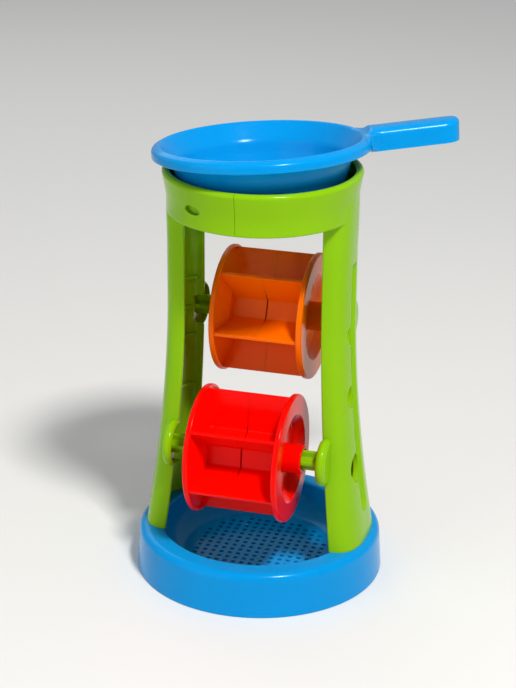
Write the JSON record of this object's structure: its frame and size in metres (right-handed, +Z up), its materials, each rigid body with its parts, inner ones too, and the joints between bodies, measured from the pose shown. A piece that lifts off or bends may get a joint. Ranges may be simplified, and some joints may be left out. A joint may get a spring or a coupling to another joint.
{
  "type": "sand wheel toy",
  "caption": "Toy sand wheel: a round base bowl with a pierced floor, a split frame with a ring on top, paddle wheels on cross-ribbed axles, and a loose sieve pan with a handle.",
  "frame": {"origin": "on the base's axis, at the ground that the base stands on", "axes": "+X along the axles towards the right column, -Y to the front of the toy, +Z up"},
  "size_m": [0.2049, 0.17, 0.3157],
  "materials": {
    "blue_plastic": "gloss",
    "lime_plastic": "gloss",
    "orange_plastic": "gloss",
    "red_plastic": "gloss"
  },
  "bodies": {
    "stand": {"base_tray": "blue_plastic", "left_frame": "lime_plastic", "right_frame": "lime_plastic", "upper_axle": "lime_plastic", "lower_axle": "lime_plastic"},
    "upper_wheel": {"upper_wheel_left": "orange_plastic", "upper_wheel_right": "orange_plastic"},
    "lower_wheel": {"lower_wheel_left": "red_plastic", "lower_wheel_right": "red_plastic"},
    "pan": {"sieve_pan": "blue_plastic"}
  },
  "joints": [
    {"name": "upper_wheel_spin", "type": "hinge", "parent": "stand", "child": "upper_wheel", "pos_m": [0, 0.0295, 0.175], "axis": [1, 0, 0], "continuous": true},
    {"name": "lower_wheel_spin", "type": "hinge", "parent": "stand", "child": "lower_wheel", "pos_m": [0, -0.0295, 0.095], "axis": [1, 0, 0], "continuous": true},
    {"name": "pan_lift", "type": "slide", "parent": "stand", "child": "pan", "axis": [0, 0, 1], "range_m": [0, 0.06]}
  ]
}
